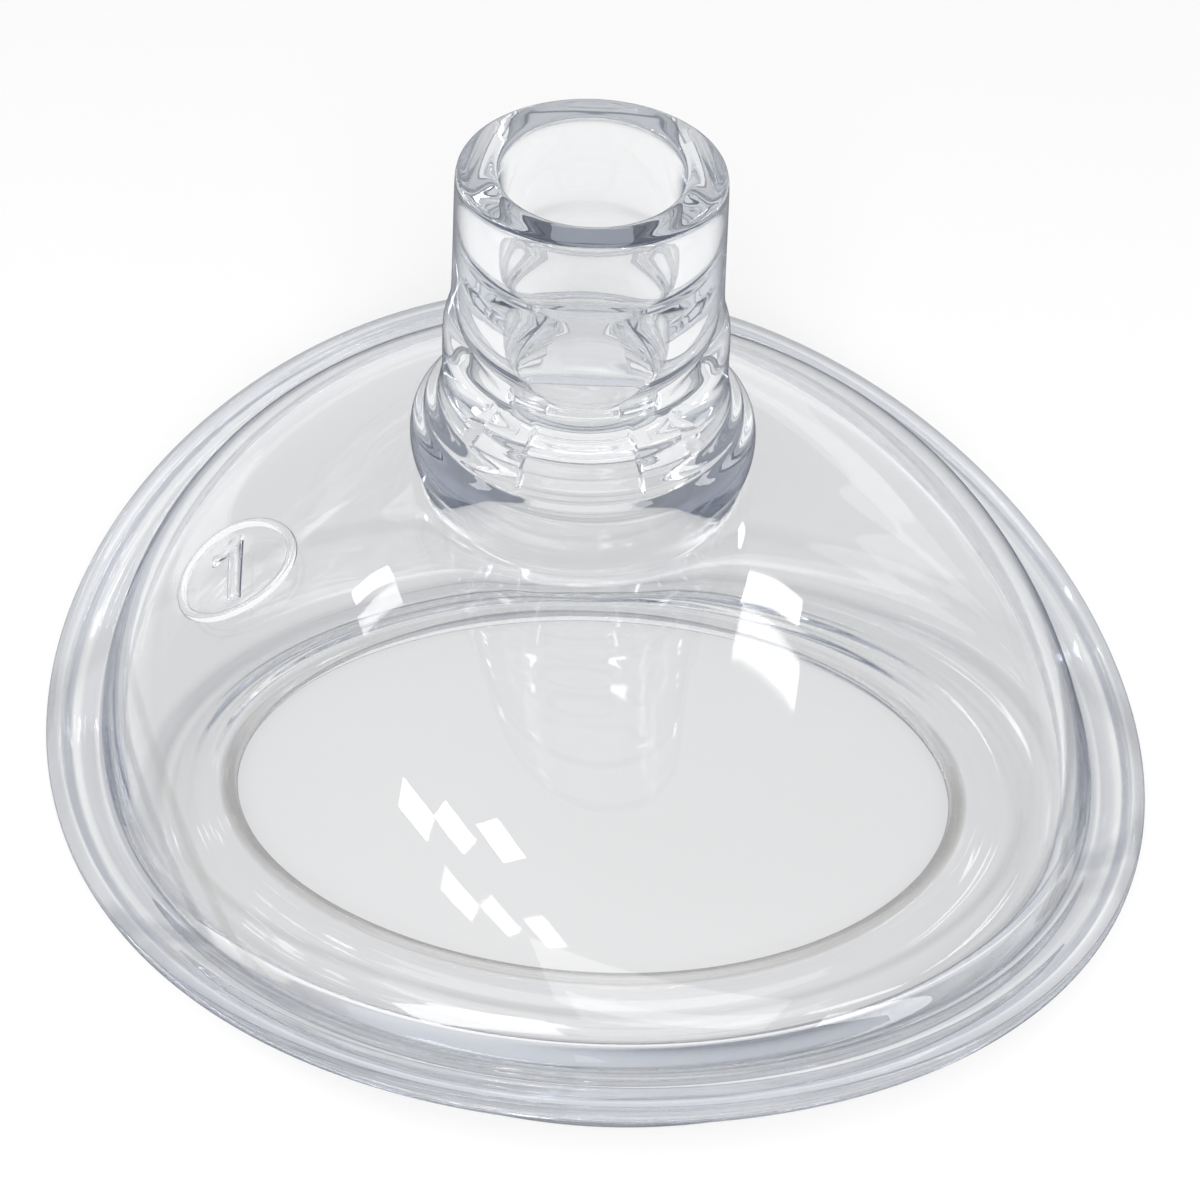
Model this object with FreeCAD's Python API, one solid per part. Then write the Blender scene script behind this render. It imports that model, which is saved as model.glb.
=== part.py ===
"""Clear silicone resuscitation mask: one moulded body on its seal, neck up.

The wide chin end points to +Y, the nose end to -Y, and z = 0 is the plane the seal rests on.
The body is one closed ring of wall: dome, flange and curled seal flap, with the neck on top.
"""
import math
import os

import FreeCAD
import Part

# neck
neck_y = 16.8                 # neck axis, towards the chin from the middle of the mask
mask_height = 51.2            # resting plane to the lip of the neck
neck_outer_radius = 11.0      # 22 mm male cone, at the lip
cone_growth = 0.0125          # radius gained for each mm down the cone
lip_rounding = 0.75
cone_length = 12.6            # lip to the shoulder
shoulder_depth = 14.8         # lip to the bottom of the shoulder
shoulder_radius = 11.85
sleeve_depth = 20.0           # lip to where the sleeve starts to flare
flare_ease, flare_pull = 0.2, 2.6
bead_radius = 14.5            # collar bead at its widest
bead_depth = 26.0
bead_swell, bead_tuck = 3.4, 2.2
foot_radius = 13.4            # where the dome leaves the collar
foot_depth = 30.6
foot_pull = 1.4
foot_overlap = 0.6            # how far the wall runs into the neck's foot

mouth_radius = 8.1            # rounded mouth of the bore
bore_radius = 7.4             # 15 mm female socket
bore_depth = 8.2              # lip to the first ledge
throat_radius = 6.95
throat_depth = 17.6           # lip to the inner rim
throat_slope = 0.9
inner_rim_radius = 6.25
inner_rim_depth = 20.3
inner_rim_slope = 1.2
well_radius = 9.8             # wide well below the inner rim
well_rounding = 2.4           # where the well opens under the dome

rib_count = 4
rib_inner_radius = 7.7
rib_depth = 23.2              # lip to the bottom of the ribs
rib_width_deg = 32.0
rib_embed_top, rib_embed_side = 0.8, 0.5

# plans: half width, half length, and how far the widest place lies towards the chin
rim_half_width, rim_half_length, rim_shift = 46.6, 51.7, 3.8
valley_centre_y, valley_half_width, valley_half_length, valley_shift = -6.0, 39.4, 32.7, 2.0
opening_centre_y, opening_half_width, opening_half_length, opening_shift = -2.5, 29.5, 21.3, 0.0

# the seal lies a little off square in the rim, and the ribs in the neck follow it
valley_centre_x, valley_turn = -0.4, -5.0
opening_centre_x, opening_turn = -1.65, -11.0
rib_turn = -11.4

# heights
rim_mid_height = 7.9          # mean height of the rim
rim_saddle = 6.5              # nose and chin rise, cheeks drop by this much
lip_height = 2.15             # middle of the rolled lip of the opening

# wall
flange_width = 4.8
dome_thickness = 2.0
flap_thickness = 1.3
roll_radius = 0.85            # rolled edges of the rim and of the opening
roll_half_sweep = 140.0       # degrees that a roll goes round to either side, up to the wall
roll_facets = 6
dome_shoulder = 0.50          # how far out the dome's top runs level
dome_side = 0.94              # how far out its side turns down
dome_side_rise = 0.58
flap_drop = 0.26              # height lost while the flap still stands steep
flap_lean = 0.38              # how far in it leans by then
flap_turn = 0.76              # how far in it turns level
seal_level = 0.45             # how far in the seal stays level
seal_turn = 0.75              # how far in it curls up to the opening

ring_samples = 12             # points fitted on each contour
roll_reach = roll_radius * (1.0 - math.cos(math.radians(roll_half_sweep)))
flange_thickness = 2.0 * roll_radius * math.sin(math.radians(roll_half_sweep))
corner_mid = 1.0 - math.cos(math.radians(45.0))   # middle of a rounding, as a share of its radius
neck_z = mask_height


def ring(centre_y, half_width, half_length, shift, height, saddle=0.0, centre_x=0.0, turn=0.0):
    """Points round one closed egg-shaped contour of the wall, starting at the chin."""
    turned = math.radians(turn)
    points = []
    for k in range(ring_samples):
        a = 2.0 * math.pi * k / ring_samples - turned
        across = -half_width * math.sin(a)
        along = half_length * math.cos(a) + shift * (1.0 - math.cos(2 * a))
        points.append(FreeCAD.Vector(centre_x + across * math.cos(turned) - along * math.sin(turned),
                                     centre_y + across * math.sin(turned) + along * math.cos(turned),
                                     height + saddle * math.cos(2 * a)))
    return points


def neck_ring(radius, height):
    return ring(neck_y, radius, radius, 0.0, height)


def rim_ring(inset, rise):
    return ring(0.0, rim_half_width - inset, rim_half_length - inset, rim_shift,
                rim_mid_height + rise, rim_saddle)


def valley_ring(height):
    return ring(valley_centre_y, valley_half_width, valley_half_length, valley_shift, height,
                centre_x=valley_centre_x, turn=valley_turn)


def opening_ring(inset, height):
    return ring(opening_centre_y, opening_half_width - inset, opening_half_length - inset,
                opening_shift, height, centre_x=opening_centre_x, turn=opening_turn)


def between(ring_a, ring_b, plan, height):
    """A contour part of the way from one to the other, in plan and in height."""
    mixed = []
    for a, b in zip(ring_a, ring_b):
        mixed.append(FreeCAD.Vector(a.x + (b.x - a.x) * plan,
                                    a.y + (b.y - a.y) * plan,
                                    a.z + (b.z - a.z) * height))
    return mixed


def smooth_poles(points):
    """Control points of the closed smooth curve through a contour's points."""
    curve = Part.BSplineCurve()
    curve.interpolate(Points=points, PeriodicFlag=True,
                      Parameters=[float(k) for k in range(len(points) + 1)])
    return curve.getPoles(), curve.getKnots(), curve.getMultiplicities()


def strip(*rings):
    """A band of wall surface: first and last contours are its edges, those between pull it."""
    rows = [smooth_poles(r) for r in rings]
    knots, mults = rows[0][1], rows[0][2]
    poles = [[row[0][k] for row in rows] for k in range(len(rows[0][0]))]
    order = len(rings)
    surface = Part.BSplineSurface()
    surface.buildFromPolesMultsKnots(poles, mults, [order, order], knots, [0.0, 1.0],
                                     True, False, 3, order - 1)
    return surface.toShape()


def rolled_edge(contour, height, side):
    """Flats round a free edge, from its top to its underside; side is the inset's sign into the wall."""
    rows = []
    for k in range(roll_facets + 1):
        a = math.radians(roll_half_sweep * (1.0 - 2.0 * k / roll_facets))
        rows.append(contour(side * roll_radius * (1.0 - math.cos(a)), height + roll_radius * math.sin(a)))
    return [strip(upper, lower) for upper, lower in zip(rows, rows[1:])]


def make_wall():
    """Dome, flange and seal flap as one closed ring of wall."""
    half_flange = flange_thickness / 2.0
    inner_inset = flange_width + dome_thickness

    foot_out = neck_ring(foot_radius - foot_overlap, neck_z - foot_depth)
    foot_in = neck_ring(foot_radius - foot_overlap, neck_z - foot_depth - dome_thickness)
    crease = rim_ring(flange_width, half_flange)
    crease_in = rim_ring(inner_inset, -half_flange + flap_thickness)
    edge_top = rim_ring(roll_reach, half_flange)
    edge_low = rim_ring(roll_reach, -half_flange)
    flap_root = rim_ring(inner_inset - flap_thickness, -half_flange)
    valley_low = valley_ring(0.0)
    valley_top = valley_ring(flap_thickness)
    lip_low = opening_ring(-roll_reach, lip_height - half_flange)
    lip_top = opening_ring(-roll_reach, lip_height + half_flange)

    outer_dome = strip(foot_out,
                       between(foot_out, crease, dome_shoulder, 0.0),
                       between(foot_out, crease, dome_side, 1.0 - dome_side_rise),
                       crease)
    flange_top = strip(crease, edge_top)
    rim_edge = rolled_edge(rim_ring, 0.0, 1)
    flange_under = strip(edge_low, flap_root)
    flap_under = strip(flap_root,
                       between(flap_root, valley_low, flap_lean, flap_drop),
                       between(flap_root, valley_low, flap_turn, 1.0),
                       valley_low)
    seal_under = strip(valley_low,
                       between(valley_low, lip_low, seal_level, 0.0),
                       between(valley_low, lip_low, seal_turn, 1.0),
                       lip_low)
    lip_edge = rolled_edge(opening_ring, lip_height, -1)
    seal_top = strip(lip_top,
                     between(valley_top, lip_top, seal_turn, 1.0),
                     between(valley_top, lip_top, seal_level, 0.0),
                     valley_top)
    flap_top = strip(valley_top,
                     between(crease_in, valley_top, flap_turn, 1.0),
                     between(crease_in, valley_top, flap_lean, flap_drop),
                     crease_in)
    inner_dome = strip(crease_in,
                       between(foot_in, crease_in, dome_side, 1.0 - dome_side_rise),
                       between(foot_in, crease_in, dome_shoulder, 0.0),
                       foot_in)
    top_band = strip(foot_in, foot_out)

    bands = [outer_dome, flange_top, flange_under, flap_under, seal_under,
             seal_top, flap_top, inner_dome, top_band]
    shell = Part.makeCompound(bands + rim_edge + lip_edge)
    shell.sewShape()
    wall = Part.Solid(shell.Shells[0])
    if wall.Volume < 0:
        wall.reverse()
    return wall


def make_neck():
    """The neck turned about its own axis: cone, shoulder, sleeve, collar bead, bore and well."""
    def at(radius, depth):
        return FreeCAD.Vector(radius, 0.0, neck_z - depth)

    cone_end = neck_outer_radius + cone_growth * cone_length
    foot_under = foot_depth + dome_thickness
    mouth_rounding = mouth_radius - bore_radius
    lip_mid = at(neck_outer_radius - corner_mid * lip_rounding, corner_mid * lip_rounding)
    mouth_mid = at(bore_radius + corner_mid * mouth_rounding, corner_mid * mouth_rounding)
    well_mid = at(well_radius + corner_mid * well_rounding, foot_under - corner_mid * well_rounding)
    flare = Part.BezierCurve()
    flare.setPoles([at(shoulder_radius, sleeve_depth),
                    at(shoulder_radius + flare_ease, sleeve_depth + flare_pull),
                    at(bead_radius, bead_depth - bead_swell),
                    at(bead_radius, bead_depth)])
    tuck = Part.BezierCurve()
    tuck.setPoles([at(bead_radius, bead_depth),
                   at(bead_radius, bead_depth + bead_tuck),
                   at(foot_radius, foot_depth - foot_pull),
                   at(foot_radius, foot_depth)])
    outside = [at(neck_outer_radius - lip_rounding, 0.0),
               lip_mid,
               at(neck_outer_radius + cone_growth * lip_rounding, lip_rounding),
               at(cone_end, cone_length),
               at(shoulder_radius, shoulder_depth),
               at(shoulder_radius, sleeve_depth)]
    inside = [at(foot_radius, foot_depth),
              at(well_radius + well_rounding, foot_under),
              well_mid,
              at(well_radius, foot_under - well_rounding),
              at(well_radius, inner_rim_depth + inner_rim_slope),
              at(inner_rim_radius, inner_rim_depth),
              at(inner_rim_radius, throat_depth + throat_slope),
              at(throat_radius, throat_depth),
              at(throat_radius, bore_depth),
              at(bore_radius, bore_depth),
              at(bore_radius, mouth_rounding),
              mouth_mid,
              at(mouth_radius, 0.0),
              at(neck_outer_radius - lip_rounding, 0.0)]
    edges = [Part.makeLine(a, b) for line in (outside, inside) for a, b in zip(line, line[1:])]
    edges += [flare.toShape(), tuck.toShape()]
    profile = Part.Face(Part.Wire(Part.__sortEdges__(edges)))
    neck = profile.revolve(FreeCAD.Vector(0, 0, 0), FreeCAD.Vector(0, 0, 1), 360)
    neck.translate(FreeCAD.Vector(0, neck_y, 0))
    return neck


def make_ribs():
    """Four short ribs in the neck's well, below the inner rim."""
    top = neck_z - inner_rim_depth + rib_embed_top
    height = top - (neck_z - rib_depth)
    ribs = []
    for k in range(rib_count):
        start = 360.0 / rib_count * (k + 0.5) + rib_turn - rib_width_deg / 2.0
        block = Part.makeCylinder(well_radius + rib_embed_side, height, FreeCAD.Vector(0, 0, 0),
                                  FreeCAD.Vector(0, 0, 1), rib_width_deg)
        core = Part.makeCylinder(rib_inner_radius, height, FreeCAD.Vector(0, 0, 0),
                                 FreeCAD.Vector(0, 0, 1), 360)
        rib = block.cut(core)
        rib.rotate(FreeCAD.Vector(0, 0, 0), FreeCAD.Vector(0, 0, 1), start)
        rib.translate(FreeCAD.Vector(0, neck_y, neck_z - rib_depth))
        ribs.append(rib)
    return ribs


mask_body = make_wall().fuse([make_neck()] + make_ribs())
if mask_body.ShapeType != "Solid":
    mask_body = mask_body.Solids[0]

os.makedirs("parts", exist_ok=True)
mask_body.exportStep("parts/mask_body.step")
print("mask_body", mask_body.isValid(), mask_body.BoundBox, round(mask_body.Volume / 1000.0, 2), "cm3")
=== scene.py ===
"""Clear silicone resuscitation mask on a white table, seen from its nose end and above."""
import math

import bmesh
import bpy
import numpy as np
from mathutils import Matrix, Vector
from mathutils.bvhtree import BVHTree
from mathutils.geometry import tessellate_polygon


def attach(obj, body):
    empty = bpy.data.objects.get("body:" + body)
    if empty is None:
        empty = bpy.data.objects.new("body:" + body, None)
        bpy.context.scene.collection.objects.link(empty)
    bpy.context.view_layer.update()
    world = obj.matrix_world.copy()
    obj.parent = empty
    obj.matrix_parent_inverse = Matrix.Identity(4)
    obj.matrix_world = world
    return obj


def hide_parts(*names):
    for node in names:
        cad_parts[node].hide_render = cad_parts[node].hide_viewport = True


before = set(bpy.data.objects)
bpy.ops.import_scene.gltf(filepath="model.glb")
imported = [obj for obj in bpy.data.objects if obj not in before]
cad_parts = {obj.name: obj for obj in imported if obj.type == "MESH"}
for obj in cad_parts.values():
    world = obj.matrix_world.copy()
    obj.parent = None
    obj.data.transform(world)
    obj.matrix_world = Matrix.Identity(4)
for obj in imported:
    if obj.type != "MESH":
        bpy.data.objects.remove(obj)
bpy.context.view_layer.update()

MM = 0.001

# the neck in millimetres, depths from its lip, as the solid has them
NECK_Y, TOP = 16.8, 51.2
NECK_R, CONE_GROWTH, LIP_ROUND = 11.0, 0.0125, 0.75
CONE_LEN, SHOULDER_DEPTH, SHOULDER_R = 12.6, 14.8, 11.85
SLEEVE_DEPTH, FLARE_EASE, FLARE_PULL = 20.0, 0.2, 2.6
BEAD_R, BEAD_DEPTH, BEAD_SWELL, BEAD_TUCK = 14.5, 26.0, 3.4, 2.2
FOOT_R, FOOT_DEPTH, FOOT_PULL, FOOT_OVERLAP = 13.4, 30.6, 1.4, 0.6
MOUTH_R, BORE_R, BORE_DEPTH = 8.1, 7.4, 8.2
THROAT_R, THROAT_DEPTH, THROAT_SLOPE = 6.95, 17.6, 0.9
RIM_IN_R, RIM_IN_DEPTH, RIM_IN_SLOPE = 6.25, 20.3, 1.2
RIB_COUNT, RIB_R, RIB_DEPTH, RIB_DEG, RIB_TURN = 4, 7.7, 23.2, 32.0, -11.4
WELL_R = 9.8

# where the surface differs a little from the solid
WELL_ROUND = 2.2                          # 2.4 in the solid
RIB_FOOT = 0.2                            # height over which the ribs' feet run out into the well
RIB_FLANK_DEG = 2.0                       # width of a rib's side, which stands straight in the solid

# centre x and y, half width, half length, shift of the widest place, turn from square in degrees
RIM = (0.0, 0.0, 46.6, 51.7, 3.8, 0.0)
VALLEY = (-0.4, -6.0, 39.4, 32.7, 2.0, -5.0)
OPENING = (-1.65, -2.5, 29.5, 21.3, 0.0, -11.0)
RIM_MID, RIM_SADDLE, LIP_MID = 7.9, 6.5, 2.15

# the wall, and how the curves of its section are pulled, as shares of the way
FLANGE_W, DOME_T, FLAP_T = 4.8, 2.0, 1.3
ROLL_R, ROLL_HALF_SWEEP = 0.85, math.radians(140.0)
ROLL_REACH = ROLL_R * (1.0 - math.cos(ROLL_HALF_SWEEP))
FLANGE_T = 2.0 * ROLL_R * math.sin(ROLL_HALF_SWEEP)
DOME_SHOULDER, DOME_SIDE, DOME_SIDE_RISE = 0.50, 0.94, 0.58
FLAP_DROP, FLAP_LEAN, FLAP_TURN = 0.26, 0.38, 0.76
SEAL_LEVEL, SEAL_TURN = 0.45, 0.75

# low ripples and grooves: where they lie as shares of a run, how high or deep, and how wide
SEAL_CRESTS, FLAP_CRESTS, CREST_HIGH, CREST_WIDE = (0.16, 0.46, 0.80), (0.22, 0.50), 0.30, 0.085
FLANGE_RIDGES, FLANGE_RIDGE_HIGH, FLANGE_RIDGE_WIDE = (0.25, 0.68), 0.18, 0.12
GROOVES, GROOVE_DEEP, GROOVE_WIDE = (0.30, 0.62), 0.40, 0.07

# how finely the mask is drawn: points round each contour, and contours along each run
AROUND = 240
SHORT_RUN, SLOPE_RUN, LEDGE_RUN = 6, 4, 3
CONE_RUN, SLEEVE_RUN, FLARE_RUN, TUCK_RUN, WELL_RUN = 8, 10, 30, 12, 8
DOME_RUN, DOME_IN_RUN = 40, 36
FLANGE_RUN, ROLL_RUN, UNDER_RUN = 24, 18, 10
FLAP_RUN, FLAP_TOP_RUN, SEAL_RUN, SEAL_TOP_RUN = 26, 28, 16, 44
SMOOTHING = 3                             # times that the corners of the section are rounded off
SHARP_ANGLE = math.radians(50.0)

ANGLE = np.linspace(0.0, 2.0 * math.pi, AROUND, endpoint=False)


# contours and sections
def contour(plan, height, saddle=0.0, inset=0.0):
    """One closed egg-shaped contour, starting at the chin end."""
    centre_x, centre_y, wide, long, shift, turn = plan
    turned = math.radians(turn)
    angle = ANGLE - turned
    across = -(wide - inset) * np.sin(angle)
    along = (long - inset) * np.cos(angle) + shift * (1.0 - np.cos(2 * angle))
    return np.stack([centre_x + across * math.cos(turned) - along * math.sin(turned),
                     centre_y + across * math.sin(turned) + along * math.cos(turned),
                     height + saddle * np.cos(2 * angle)], axis=1)


def neck_ring(radius, depth):
    """A contour round the neck; the radius is one number or one for each point."""
    radius = np.broadcast_to(radius, ANGLE.shape)
    return np.stack([-radius * np.sin(ANGLE), NECK_Y + radius * np.cos(ANGLE),
                     np.broadcast_to(TOP - np.asarray(depth, float), ANGLE.shape)], axis=1)


def rim_ring(inset, rise):
    return contour(RIM, RIM_MID + rise, RIM_SADDLE, inset)


def lip_ring(inset, rise):
    """A contour of the opening's lip, where the way into the wall is outwards and the roll runs upwards."""
    return contour(OPENING, LIP_MID - rise, inset=-inset)


def between(a, b, plan, height):
    """A contour part of the way from one to the other, in plan and in height."""
    shares = np.array([plan, plan, height])
    return a + (b - a) * shares


def bend(rings, count):
    """Contours along the smooth curve that the given ones pull, without its first."""
    order = len(rings) - 1
    out = []
    for k in range(1, count + 1):
        t = k / count
        weights = [math.comb(order, j) * t ** j * (1 - t) ** (order - j) for j in range(order + 1)]
        out.append(sum(weight * ring for weight, ring in zip(weights, rings)))
    return out


def neck_curve(points, count):
    return bend([neck_ring(radius, depth) for radius, depth in points], count)


def rolled_edge(place, count):
    """Contours round a rolled free edge, without its first; place takes the inset and the rise."""
    out = []
    for k in range(1, count + 1):
        a = ROLL_HALF_SWEEP * (1.0 - 2.0 * k / count)
        out.append(place(ROLL_R * (1.0 - math.cos(a)), ROLL_R * math.sin(a)))
    return out


def swell(share, crests, wide):
    """How much of a row of smooth crests stands at this share of the way."""
    return sum(math.exp(-((share - crest) / wide) ** 2) for crest in crests)


def ripple(rings, crests, high, wide):
    """The run of contours with low ridges raised on it, at the given shares of the way."""
    return [ring + np.array([0.0, 0.0, high * swell(k / len(rings), crests, wide)])
            for k, ring in enumerate(rings, 1)]


def groove(rings):
    """The run of contours round the neck with shallow grooves cut in."""
    cut = []
    for k, ring in enumerate(rings, 1):
        dip = GROOVE_DEEP * swell(k / len(rings), GROOVES, GROOVE_WIDE)
        out = ring[:, :2] - (0.0, NECK_Y)
        radius = np.linalg.norm(out, axis=1, keepdims=True)
        cut.append(np.concatenate([ring[:, :2] - out / radius * dip, ring[:, 2:]], axis=1))
    return cut


def rib_share():
    """1 where a rib stands in the well, 0 between the ribs, with short flanks."""
    turn = (np.degrees(ANGLE) - RIB_TURN) % (360.0 / RIB_COUNT) - 180.0 / RIB_COUNT
    inside = RIB_DEG / 2.0 + RIB_FLANK_DEG / 2.0 - np.abs(turn)
    return np.clip(inside / RIB_FLANK_DEG, 0.0, 1.0)


def neck_outside():
    """From the mouth over the lip and down the cone, the sleeve and the collar to the neck's foot."""
    cone_end = NECK_R + CONE_GROWTH * CONE_LEN
    flare = neck_curve([(SHOULDER_R, SLEEVE_DEPTH), (SHOULDER_R + FLARE_EASE, SLEEVE_DEPTH + FLARE_PULL),
                        (BEAD_R, BEAD_DEPTH - BEAD_SWELL), (BEAD_R, BEAD_DEPTH)], FLARE_RUN)
    rings = [neck_ring(MOUTH_R, 0.0)]
    rings += neck_curve([(MOUTH_R, 0.0), (NECK_R - LIP_ROUND, 0.0)], SHORT_RUN)
    rings += neck_curve([(NECK_R - LIP_ROUND, 0.0), (NECK_R, 0.0), (NECK_R, LIP_ROUND)], SHORT_RUN)
    rings += neck_curve([(NECK_R, LIP_ROUND), (cone_end, CONE_LEN)], CONE_RUN)
    rings += neck_curve([(cone_end, CONE_LEN), (SHOULDER_R, SHOULDER_DEPTH)], SHORT_RUN)
    rings += neck_curve([(SHOULDER_R, SHOULDER_DEPTH), (SHOULDER_R, SLEEVE_DEPTH)], SLEEVE_RUN)
    rings += groove(flare)
    rings += neck_curve([(BEAD_R, BEAD_DEPTH), (BEAD_R, BEAD_DEPTH + BEAD_TUCK),
                         (FOOT_R, FOOT_DEPTH - FOOT_PULL), (FOOT_R, FOOT_DEPTH)], TUCK_RUN)
    return rings


def wall():
    """From the neck's foot over the dome, round the flange, under the seal, over it and back up inside."""
    half = FLANGE_T / 2.0
    foot_out = neck_ring(FOOT_R, FOOT_DEPTH)
    foot_in = neck_ring(FOOT_R - FOOT_OVERLAP, FOOT_DEPTH + DOME_T)
    crease = rim_ring(FLANGE_W, half)
    crease_in = rim_ring(FLANGE_W + DOME_T, -half + FLAP_T)
    edge_top, edge_low = rim_ring(ROLL_REACH, half), rim_ring(ROLL_REACH, -half)
    flap_root = rim_ring(FLANGE_W + DOME_T - FLAP_T, -half)
    valley_low, valley_top = contour(VALLEY, 0.0), contour(VALLEY, FLAP_T)
    lip_low, lip_top = lip_ring(ROLL_REACH, half), lip_ring(ROLL_REACH, -half)

    rings = bend([foot_out,
                  between(foot_out, crease, DOME_SHOULDER, 0.0),
                  between(foot_out, crease, DOME_SIDE, 1.0 - DOME_SIDE_RISE),
                  crease], DOME_RUN)
    rings += ripple(bend([crease, edge_top], FLANGE_RUN),
                    FLANGE_RIDGES, FLANGE_RIDGE_HIGH, FLANGE_RIDGE_WIDE)
    rings += rolled_edge(rim_ring, ROLL_RUN)
    rings += bend([edge_low, flap_root], UNDER_RUN)
    rings += bend([flap_root,
                   between(flap_root, valley_low, FLAP_LEAN, FLAP_DROP),
                   between(flap_root, valley_low, FLAP_TURN, 1.0),
                   valley_low], FLAP_RUN)
    rings += bend([valley_low,
                   between(valley_low, lip_low, SEAL_LEVEL, 0.0),
                   between(valley_low, lip_low, SEAL_TURN, 1.0),
                   lip_low], SEAL_RUN)
    rings += rolled_edge(lip_ring, ROLL_RUN)
    seal_top = bend([lip_top,
                     between(valley_top, lip_top, SEAL_TURN, 1.0),
                     between(valley_top, lip_top, SEAL_LEVEL, 0.0),
                     valley_top], SEAL_TOP_RUN)
    rings += ripple(seal_top, SEAL_CRESTS, CREST_HIGH, CREST_WIDE)
    flap_top = bend([valley_top,
                     between(crease_in, valley_top, FLAP_TURN, 1.0),
                     between(crease_in, valley_top, FLAP_LEAN, FLAP_DROP),
                     crease_in], FLAP_TOP_RUN)
    rings += ripple(flap_top, FLAP_CRESTS, CREST_HIGH, CREST_WIDE)
    rings += bend([crease_in,
                   between(foot_in, crease_in, DOME_SIDE, 1.0 - DOME_SIDE_RISE),
                   between(foot_in, crease_in, DOME_SHOULDER, 0.0),
                   foot_in], DOME_IN_RUN)
    return rings


def neck_inside():
    """From under the neck's foot up the well, past the ribs, the inner rim and the bore to the mouth."""
    foot_under = FOOT_DEPTH + DOME_T
    mouth_round = MOUTH_R - BORE_R
    rib_r = WELL_R + (RIB_R - WELL_R) * rib_share()
    rings = neck_curve([(FOOT_R - FOOT_OVERLAP, foot_under), (WELL_R, foot_under),
                        (WELL_R, foot_under - WELL_ROUND)], WELL_RUN)
    rings += neck_curve([(WELL_R, foot_under - WELL_ROUND), (WELL_R, RIB_DEPTH + RIB_FOOT)], SHORT_RUN)
    rings += [neck_ring(rib_r, RIB_DEPTH)]
    rings += neck_curve([(rib_r, RIB_DEPTH), (rib_r, RIM_IN_DEPTH + RIM_IN_SLOPE)], SHORT_RUN)
    rings += neck_curve([(rib_r, RIM_IN_DEPTH + RIM_IN_SLOPE), (RIM_IN_R, RIM_IN_DEPTH)], SHORT_RUN)
    rings += neck_curve([(RIM_IN_R, RIM_IN_DEPTH), (RIM_IN_R, THROAT_DEPTH + THROAT_SLOPE)], SLOPE_RUN)
    rings += neck_curve([(RIM_IN_R, THROAT_DEPTH + THROAT_SLOPE), (THROAT_R, THROAT_DEPTH)], SLOPE_RUN)
    rings += neck_curve([(THROAT_R, THROAT_DEPTH), (THROAT_R, BORE_DEPTH)], SHORT_RUN)
    rings += neck_curve([(THROAT_R, BORE_DEPTH), (BORE_R, BORE_DEPTH)], LEDGE_RUN)
    rings += neck_curve([(BORE_R, BORE_DEPTH), (BORE_R, mouth_round)], SHORT_RUN)
    rings += neck_curve([(BORE_R, mouth_round), (BORE_R, 0.0), (MOUTH_R, 0.0)], SHORT_RUN)[:-1]
    return rings


def add_object(name, data):
    added = bpy.data.objects.new(name, data)
    bpy.context.scene.collection.objects.link(added)
    return added


def make_mask():
    """The mask as one closed smooth surface through the contours of its section."""
    rings = np.array(neck_outside() + wall() + neck_inside())
    for _ in range(SMOOTHING):
        rings = (np.roll(rings, 1, axis=0) + 2.0 * rings + np.roll(rings, -1, axis=0)) / 4.0
    rows, cols = rings.shape[:2]
    index = np.arange(rows * cols).reshape(rows, cols)
    below = np.roll(index, -1, axis=0)
    faces = np.stack([index, np.roll(index, 1, axis=1), np.roll(below, 1, axis=1), below], axis=2)
    mesh = bpy.data.meshes.new("mask")
    mesh.from_pydata((rings.reshape(-1, 3) * MM).tolist(), [], faces.reshape(-1, 4).tolist())
    mesh.shade_smooth()
    mesh.set_sharp_from_angle(angle=SHARP_ANGLE)
    return add_object("mask", mesh)


# shader nodes
def node(tree, kind, links=None, operation=None, **values):
    """A new shader node with its own values; links says what feeds its inputs."""
    made = tree.nodes.new("ShaderNode" + kind)
    if operation:
        made.operation = operation
    for key, value in values.items():
        made.inputs[key.replace("_", " ")].default_value = value
    for key, source in (links or {}).items():
        tree.links.new(source, made.inputs[key])
    return made


def mapped(tree, value, from_min, from_max, to_min=0.0, to_max=1.0, smooth=False):
    """The value taken from one range to another and held at its ends."""
    made = node(tree, "MapRange", {"Value": value},
                From_Min=from_min, From_Max=from_max, To_Min=to_min, To_Max=to_max)
    if smooth:
        made.interpolation_type = "SMOOTHSTEP"
    return made.outputs["Result"]


def tinted(tree, shader, share, colour):
    """The shader with a share of plain see-through colour laid over it."""
    film = node(tree, "BsdfTransparent", Color=(*colour, 1.0))
    return node(tree, "MixShader", {0: share, 1: shader, 2: film.outputs[0]}).outputs[0]


def ring_place(tree, place, plan, middle_z, tall):
    """How far out a place is, 1 on the plan's contour at the given height; and its own y."""
    centre_x, centre_y, wide, long, shift, turn = plan
    own = node(tree, "Mapping", {"Vector": place},
               Location=(centre_x * MM, centre_y * MM, middle_z * MM),
               Rotation=(0.0, 0.0, math.radians(turn)),
               Scale=(wide * MM, long * MM, tall * MM))
    own.vector_type = "TEXTURE"
    axes = node(tree, "SeparateXYZ", {0: own.outputs[0]}).outputs
    squared = node(tree, "Math", {0: axes["X"], 1: axes["X"]}, "MULTIPLY")
    evened = node(tree, "Math", {0: squared.outputs[0], 2: axes["Y"]}, "MULTIPLY_ADD")
    evened.inputs[1].default_value = -2.0 * shift / long
    joined = node(tree, "CombineXYZ", {"X": axes["X"], "Y": evened.outputs[0], "Z": axes["Z"]})
    out_from = node(tree, "VectorMath", {0: joined.outputs[0]}, "LENGTH")
    return out_from.outputs["Value"], axes["Y"]


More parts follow.
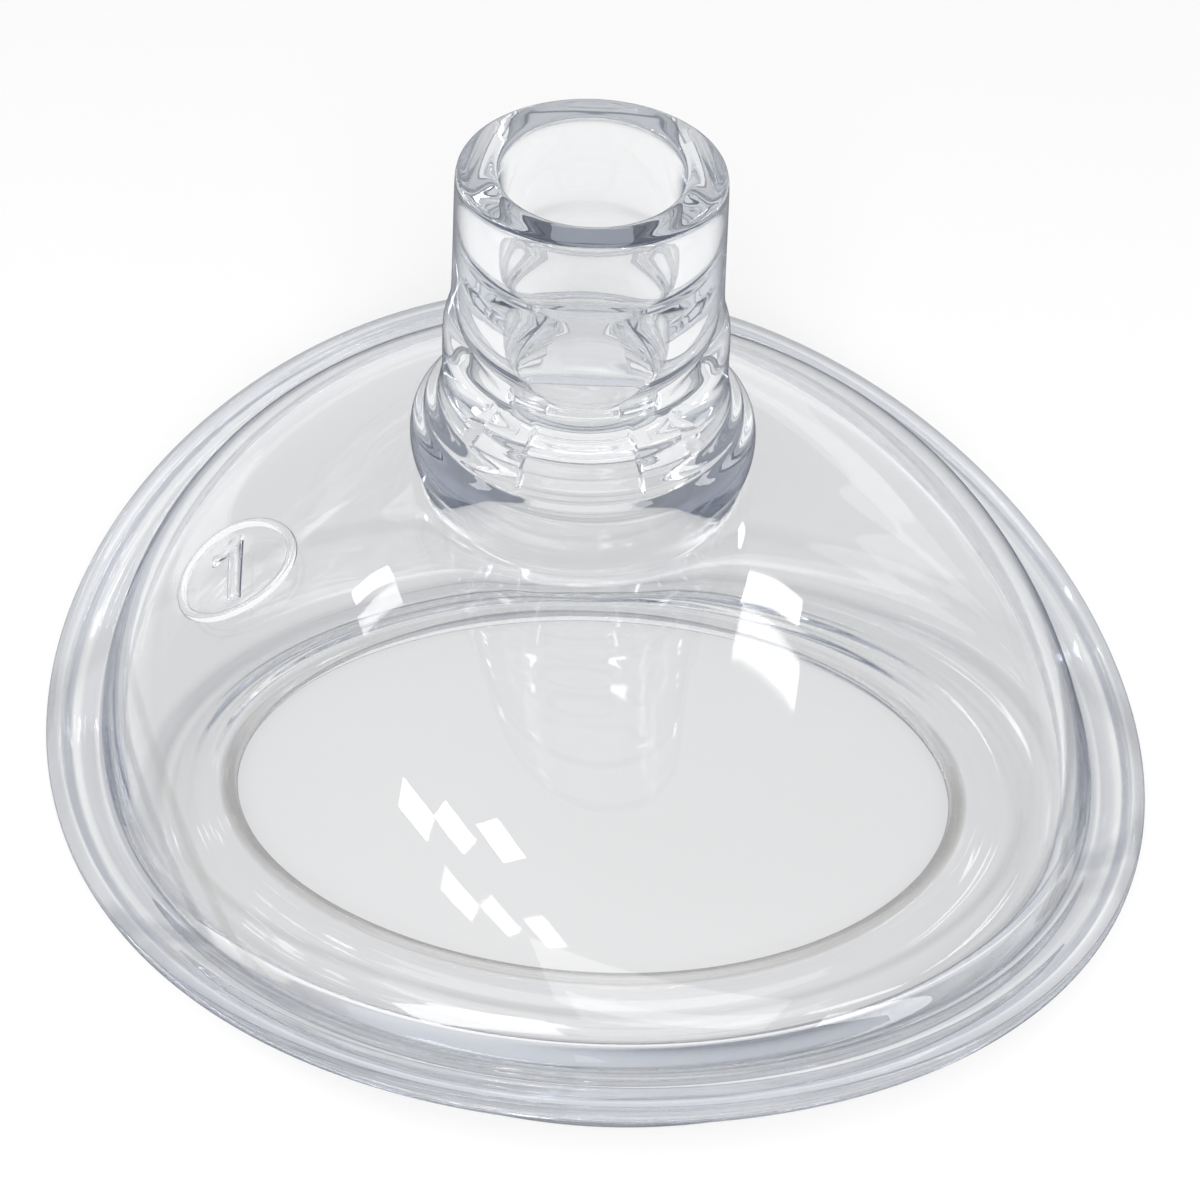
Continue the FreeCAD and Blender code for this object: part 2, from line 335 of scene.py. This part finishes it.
def stripes(tree, value, low, high, stops):
    """Stripes across a ring: the share of colour at each place between low and high."""
    ramp = node(tree, "ValToRGB", {"Fac": mapped(tree, value, low, high)})
    elements = ramp.color_ramp.elements
    while len(elements) < len(stops):
        elements.new(0.5)
    places, shares = zip(*stops)
    for stop, where in zip(elements, places):
        stop.position = (where - low) / (high - low)
    for stop, share in zip(elements, shares):
        stop.color = (share, share, share, 1.0)
    return ramp.outputs["Color"]


# clear silicone
SILICONE = {"Base Color": (0.968, 0.970, 0.975, 1.0), "Roughness": 0.02, "IOR": 1.41,
            "Transmission Weight": 1.0}
DEPTH_COLOUR, DEPTH_DENSITY = (0.46, 0.51, 0.56, 1.0), 10.0
CAUGHT_BOUNCES, CAUGHT_COLOUR = 2.5, (0.74, 0.76, 0.80)
# painted shade on walls seen edge on: how it blends, where it starts, its most, and its colour
EDGE_SHADE_BLEND, EDGE_SHADE_FROM, EDGE_SHADE_SHARE, EDGE_SHADE_COLOUR = 0.5, 0.58, 0.85, (0.34, 0.36, 0.41)

# the shadow: how it darkens with the height in metres and with walls that turn away
THIN_HEIGHT, THICK_HEIGHT, THICK_LIGHT = 0.004, 0.010, 0.82
STEEP_BLEND, STEEP_LIGHT = 0.35, (0.30, 0.31, 0.33, 1.0)

# painted shade in bands round the mask, by how far out a place is, where 1 is on the contour: the height
# in millimetres that counts as 1, the band's ends, its stops with the share of colour at each, and its
# colour
LIP_TALL, LIP_ENDS, LIP_SHADE_COLOUR = 5.0, (0.98, 1.72), (0.60, 0.585, 0.56)
LIP_SHADE_STOPS = ((0.985, 0.30), (1.012, 0.30), (1.020, 0.62), (1.045, 0.55), (1.060, 0.0), (1.195, 0.0),
             (1.220, 0.24), (1.250, 0.0), (1.570, 0.0), (1.610, 0.30), (1.660, 0.30), (1.700, 0.0))
LIP_NEAR_Y, LIP_FAR_Y, LIP_FAR_SHARE = -0.2, 1.0, 0.3      # places as shares of the half length
VALLEY_TALL, VALLEY_ENDS, VALLEY_SHADE_COLOUR = 12.0, (0.88, 1.04), (0.55, 0.56, 0.58)
VALLEY_SHADE_STOPS = ((0.88, 0.0), (0.91, 0.08), (0.95, 0.0), (0.965, 0.18), (0.99, 0.18), (1.015, 0.0))
FLANGE_TALL, FLANGE_ENDS, FLANGE_SHADE_COLOUR = 1000.0, (0.86, 1.01), (0.52, 0.55, 0.62)
FLANGE_SHADE_STOPS = ((0.880, 0.0), (0.892, 0.30), (0.903, 0.30), (0.908, 0.02), (0.914, 0.26),
                (0.937, 0.22), (0.943, 0.02), (0.950, 0.02), (0.955, 0.42), (0.970, 0.42),
                (0.974, 0.02), (0.980, 0.25), (1.0, 0.30))


def with_painted_shade(tree, shader, place):
    """The shader with bands of painted shade laid along the mask's rings."""
    # painted shade on the rolled lip of the seal, a little warm and darker, most on the near side,
    # with two faint lines of painted shade further out on the seal
    lip_out, lip_y = ring_place(tree, place, OPENING, LIP_MID, LIP_TALL)
    lip_shade = stripes(tree, lip_out, *LIP_ENDS, LIP_SHADE_STOPS)
    near_side = mapped(tree, lip_y, LIP_NEAR_Y, LIP_FAR_Y, 1.0, LIP_FAR_SHARE)
    lip_shade_share = node(tree, "Math", {0: lip_shade, 1: near_side}, "MULTIPLY")
    shader = tinted(tree, shader, lip_shade_share.outputs[0], LIP_SHADE_COLOUR)
    # painted shade: a grey band in the low turn of the seal
    valley_out = ring_place(tree, place, VALLEY, 0.0, VALLEY_TALL)[0]
    valley_shade = stripes(tree, valley_out, *VALLEY_ENDS, VALLEY_SHADE_STOPS)
    shader = tinted(tree, shader, valley_shade, VALLEY_SHADE_COLOUR)
    # painted shade on the flange: grey bands with pale lines between
    rim_out = ring_place(tree, place, RIM, 0.0, FLANGE_TALL)[0]
    flange_shade = stripes(tree, rim_out, *FLANGE_ENDS, FLANGE_SHADE_STOPS)
    return tinted(tree, shader, flange_shade, FLANGE_SHADE_COLOUR)


def shadow_tint(tree, place):
    """A see-through shader that is pale over the thin seal and darker where walls turn away."""
    height = node(tree, "SeparateXYZ", {0: place}).outputs["Z"]
    level = mapped(tree, height, THIN_HEIGHT, THICK_HEIGHT, 1.0, THICK_LIGHT)
    edge = node(tree, "LayerWeight", Blend=STEEP_BLEND)
    tint = node(tree, "Mix")
    tint.data_type = "RGBA"
    tint.inputs[7].default_value = STEEP_LIGHT
    tree.links.new(edge.outputs["Facing"], tint.inputs[0])
    tree.links.new(level, tint.inputs[6])
    return node(tree, "BsdfTransparent", {"Color": tint.outputs[2]}).outputs[0]


def make_silicone():
    material = bpy.data.materials.new("clear_silicone")
    material.use_nodes = True
    tree = material.node_tree
    glass = tree.nodes["Principled BSDF"]
    for key, value in SILICONE.items():
        glass.inputs[key].default_value = value
    output = tree.nodes["Material Output"]
    path = node(tree, "LightPath")
    place = node(tree, "TexCoord").outputs["Object"]
    # thick places are darker and a little bluer
    depth = node(tree, "VolumeAbsorption", Color=DEPTH_COLOUR, Density=DEPTH_DENSITY)
    tree.links.new(depth.outputs["Volume"], output.inputs["Volume"])
    # light caught in a thick edge comes out again instead of ending black
    late = node(tree, "Math", {0: path.outputs["Glossy Depth"]}, "GREATER_THAN")
    late.inputs[1].default_value = CAUGHT_BOUNCES
    shader = tinted(tree, glass.outputs[0], late.outputs[0], CAUGHT_COLOUR)
    # painted shade: walls seen edge on are drawn darker
    grazing = node(tree, "LayerWeight", Blend=EDGE_SHADE_BLEND)
    edge_shade = mapped(tree, grazing.outputs["Facing"], EDGE_SHADE_FROM, 1.0, 0.0, EDGE_SHADE_SHARE, smooth=True)
    shader = tinted(tree, shader, edge_shade, EDGE_SHADE_COLOUR)
    # painted shade in bands along the lip, the seal's low turn and the flange
    shader = with_painted_shade(tree, shader, place)
    # light on its way to the table passes with only a tint
    lighting = node(tree, "Math", {0: path.outputs["Is Shadow Ray"], 1: path.outputs["Is Diffuse Ray"]},
                    "MAXIMUM")
    both = node(tree, "MixShader", {0: lighting.outputs[0], 1: shader, 2: shadow_tint(tree, place)})
    tree.links.new(both.outputs[0], output.inputs["Surface"])
    return material


mask = make_mask()
silicone = make_silicone()
mask.data.materials.append(silicone)

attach(mask, "root")
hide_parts("mask_body")

# raised size number on the dome: a 1 in a ring
MARK_AT = (-29.9, 12.7)                    # plan place of the ring's middle
MARK_TURN = math.radians(10.0)             # the number's top, from +Y towards +X
MARK_ABOVE = 4.8                           # height above the skin from which each point is dropped on it
MARK_GAP = 0.02                            # clear of the skin
RING_RADIUS, RIDGE_WIDE, RIDGE_HIGH = 5.25, 0.85, 0.45
RING_AROUND, RING_ACROSS = 120, 10
ONE_HIGH, BEVEL = 0.34, 0.3
ONE = [(0.75, 3.75), (0.75, -3.7), (-0.60, -3.7), (-0.60, 1.9), (-2.0, 1.1), (-2.2, 1.3),
       (-2.2, 2.3), (-0.9, 3.1), (-0.4, 3.75)]
OUTLINE_STEP = 0.25

skin = BVHTree.FromPolygons([v.co / MM for v in mask.data.vertices],
                            [tuple(p.vertices) for p in mask.data.polygons])
middle = skin.ray_cast(Vector((*MARK_AT, TOP)), Vector((0, 0, -1)))[0]
upward = skin.find_nearest(middle)[1]
tall_way = Vector((math.sin(MARK_TURN), math.cos(MARK_TURN), 0))
tall_way = (tall_way - upward * tall_way.dot(upward)).normalized()
wide_way = tall_way.cross(upward)


def dense(outline, step):
    """The closed outline with points no further apart than the step."""
    points = []
    for a, b in zip(outline, outline[1:] + outline[:1]):
        a, b = Vector(a), Vector(b)
        count = max(1, math.ceil((b - a).length / step))
        points += [a.lerp(b, k / count) for k in range(count)]
    return points


def inset(points, depth):
    """The closed clockwise outline moved inwards."""
    moved = []
    for before, point, after in zip(points[-1:] + points[:-1], points, points[1:] + points[:1]):
        along = (after - before).normalized()
        moved.append(point + Vector((along.y, -along.x)) * depth)
    return moved


def on_dome(x, y, high):
    """A place on the dome's skin, or above it, from the number's own plane."""
    start = middle + wide_way * x + tall_way * y + upward * MARK_ABOVE
    foot = skin.ray_cast(start, -upward)[0]
    return foot + upward * (high + MARK_GAP)


def mark_piece(name, vertices, faces):
    mesh = bpy.data.meshes.new(name)
    mesh.from_pydata([v * MM for v in vertices], [], faces)
    sides = bmesh.new()
    sides.from_mesh(mesh)
    bmesh.ops.recalc_face_normals(sides, faces=sides.faces)
    sides.to_mesh(mesh)
    sides.free()
    mesh.shade_smooth()
    mesh.set_sharp_from_angle(angle=SHARP_ANGLE)
    mesh.materials.append(silicone)
    piece = add_object(name, mesh)
    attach(piece, "root")


def number_ring():
    """A half-round ridge that runs in a circle, closed underneath."""
    section = [(RIDGE_WIDE / 2.0 * math.cos(math.pi * k / RING_ACROSS),
                RIDGE_HIGH * math.sin(math.pi * k / RING_ACROSS)) for k in range(RING_ACROSS + 1)]
    count = len(section)
    vertices, faces = [], []
    for k in range(RING_AROUND):
        a = 2.0 * math.pi * k / RING_AROUND
        vertices += [on_dome((RING_RADIUS + out) * math.cos(a), (RING_RADIUS + out) * math.sin(a), high)
                     for out, high in section]
        here, there = k * count, (k + 1) % RING_AROUND * count
        for j in range(count):
            after = (j + 1) % count
            faces.append((here + j, there + j, there + after, here + after))
    mark_piece("size_ring", vertices, faces)


def number_one():
    """The digit: its outline on the skin, a smaller one above, and the slopes between."""
    foot = dense(ONE, OUTLINE_STEP)
    top = inset(foot, BEVEL)
    count = len(foot)
    vertices = [on_dome(p.x, p.y, 0.0) for p in foot] + [on_dome(p.x, p.y, ONE_HIGH) for p in top]
    faces = [(k, k + count, (k + 1) % count + count, (k + 1) % count) for k in range(count)]
    for face in tessellate_polygon([[p.to_3d() for p in foot]]):
        faces.append(tuple(face))
        faces.append(tuple(k + count for k in reversed(face)))
    mark_piece("size_number", vertices, faces)


number_ring()
number_one()

# camera, in millimetres and degrees
CAMERA_AWAY, CAMERA_PITCH, CAMERA_ROLL = 350.0, 39.95, -2.4
FOCAL_PX, IMAGE_PX, SENSOR_MM = 4019.0, 1200.0, 36.0
CLIP_START_M = 0.01
MASK_TURN = 11.38                          # the mask's nose points this far to the right of the camera
NECK_FOOT = (-2.03, -0.95)                 # neck axis, from the point the camera looks at
TABLE_Z = -5.86

pitch, tilt, turn = (math.radians(v) for v in (CAMERA_PITCH, CAMERA_ROLL, MASK_TURN))
view = Vector((0, math.cos(pitch), -math.sin(pitch)))
level = Vector((1, 0, 0))
plumb = view.cross(level)
right = level * math.cos(tilt) + plumb * math.sin(tilt)
down = plumb * math.cos(tilt) - level * math.sin(tilt)
to_mask = (Matrix.Translation((0, NECK_Y, 0)) @ Matrix.Rotation(-turn, 4, "Z")
           @ Matrix.Translation((-NECK_FOOT[0], -NECK_FOOT[1], -TABLE_Z)))
axes = Matrix((right, -down, -view)).transposed().to_4x4()
axes.translation = -view * CAMERA_AWAY
axes = to_mask @ axes
axes.translation *= MM
camera_data = bpy.data.cameras.new("camera")
camera_data.sensor_width = SENSOR_MM
camera_data.lens = FOCAL_PX / IMAGE_PX * SENSOR_MM
camera_data.clip_start = CLIP_START_M
camera = add_object("camera", camera_data)
camera.matrix_world = axes

scene = bpy.context.scene
scene.camera = camera
scene.view_settings.view_transform = "Standard"

# floor and world
FLOOR_SIZE_M, FLOOR_DROP_M = 6.0, 0.0001
FLOOR_GREY, FLOOR_GLOW_SHARE = 0.84, 0.5
TABLE_LIGHT = 0.30
WHITE = (1.0, 1.0, 1.0, 1.0)


def make_floor():
    """A wide white table, half of its light its own, so that it keeps only a soft shadow."""
    material = bpy.data.materials.new("floor")
    material.use_nodes = True
    tree = material.node_tree
    tree.nodes.clear()
    matte = node(tree, "BsdfDiffuse", Color=(FLOOR_GREY, FLOOR_GREY, FLOOR_GREY, 1.0))
    glow = node(tree, "Emission", Color=WHITE, Strength=1.0)
    both = node(tree, "MixShader", {1: matte.outputs[0], 2: glow.outputs[0]}, Fac=FLOOR_GLOW_SHARE)
    node(tree, "OutputMaterial", {"Surface": both.outputs[0]})

    h = FLOOR_SIZE_M / 2.0
    mesh = bpy.data.meshes.new("floor")
    mesh.from_pydata([(-h, -h, 0), (h, -h, 0), (h, h, 0), (-h, h, 0)], [], [(0, 1, 2, 3)])
    mesh.materials.append(material)
    piece = add_object("floor", mesh)
    piece.location = (0, 0, -FLOOR_DROP_M)
    return piece


def make_world():
    """White to look at, also through the mask and mirrored in it; softer as light on the table."""
    world = bpy.data.worlds.new("studio")
    world.use_nodes = True
    tree = world.node_tree
    seen = tree.nodes["Background"]
    seen.inputs["Color"].default_value = WHITE
    seen.inputs["Strength"].default_value = 1.0
    lighting = node(tree, "Background", Color=(TABLE_LIGHT, TABLE_LIGHT, TABLE_LIGHT, 1.0), Strength=1.0)
    path = node(tree, "LightPath")
    both = node(tree, "MixShader",
                {0: path.outputs["Is Diffuse Ray"], 1: seen.outputs[0], 2: lighting.outputs[0]})
    tree.links.new(both.outputs[0], tree.nodes["World Output"].inputs["Surface"])
    return world


floor = make_floor()
scene.world = make_world()

# lamps
LAMP_AWAY = 1.0
AIM = Vector((0.0, -0.005, 0.015))


def lamp(name, azimuth, height, wide, tall, glow):
    """A square-cornered light in the given direction, its size in degrees, turned to the mask.

    The azimuth runs from behind the mask, +Y, to its right, +X.
    """
    az, el = math.radians(azimuth), math.radians(height)
    way = Vector((math.sin(az) * math.cos(el), math.cos(az) * math.cos(el), math.sin(el)))
    data = bpy.data.lights.new(name, "AREA")
    data.shape = "RECTANGLE"
    data.size = 2.0 * LAMP_AWAY * math.tan(math.radians(wide) / 2.0)
    data.size_y = 2.0 * LAMP_AWAY * math.tan(math.radians(tall) / 2.0)
    data.energy = glow * math.pi * data.size * data.size_y
    light = add_object(name, data)
    light.location = AIM + way * LAMP_AWAY
    light.rotation_euler = (-way).to_track_quat("-Z", "Y").to_euler()
    return light


# one broad light from the viewer's side lights the table and is neither mirrored nor seen in the mask
key = lamp("key", 191.0, 42.0, 26.0, 26.0, 23.0)
key.visible_glossy = False
key.visible_transmission = False
# the panes of a window and two far strips shine on the mask, and add a little light to the table too
lamp("pane_1", -30.2, 52.9, 3.8, 2.6, 22.0)
lamp("pane_2", -24.2, 55.5, 3.2, 2.6, 22.0)
lamp("pane_3", -15.6, 57.4, 3.2, 2.6, 22.0)
lamp("far_right", 23.0, 41.5, 6.0, 1.1, 14.0)
lamp("far_left", -11.0, 43.8, 7.5, 0.9, 14.0)
# the soft lights round the mask show only in it
for shown in (lamp("overhead", 20.0, 80.0, 40.0, 14.0, 3.0),
              lamp("left_side", -95.0, 45.0, 8.0, 40.0, 9.0),
              lamp("right_side", 100.0, 35.0, 7.0, 40.0, 9.0),
              lamp("front", 190.0, 55.0, 50.0, 12.0, 3.0)):
    shown.visible_diffuse = False
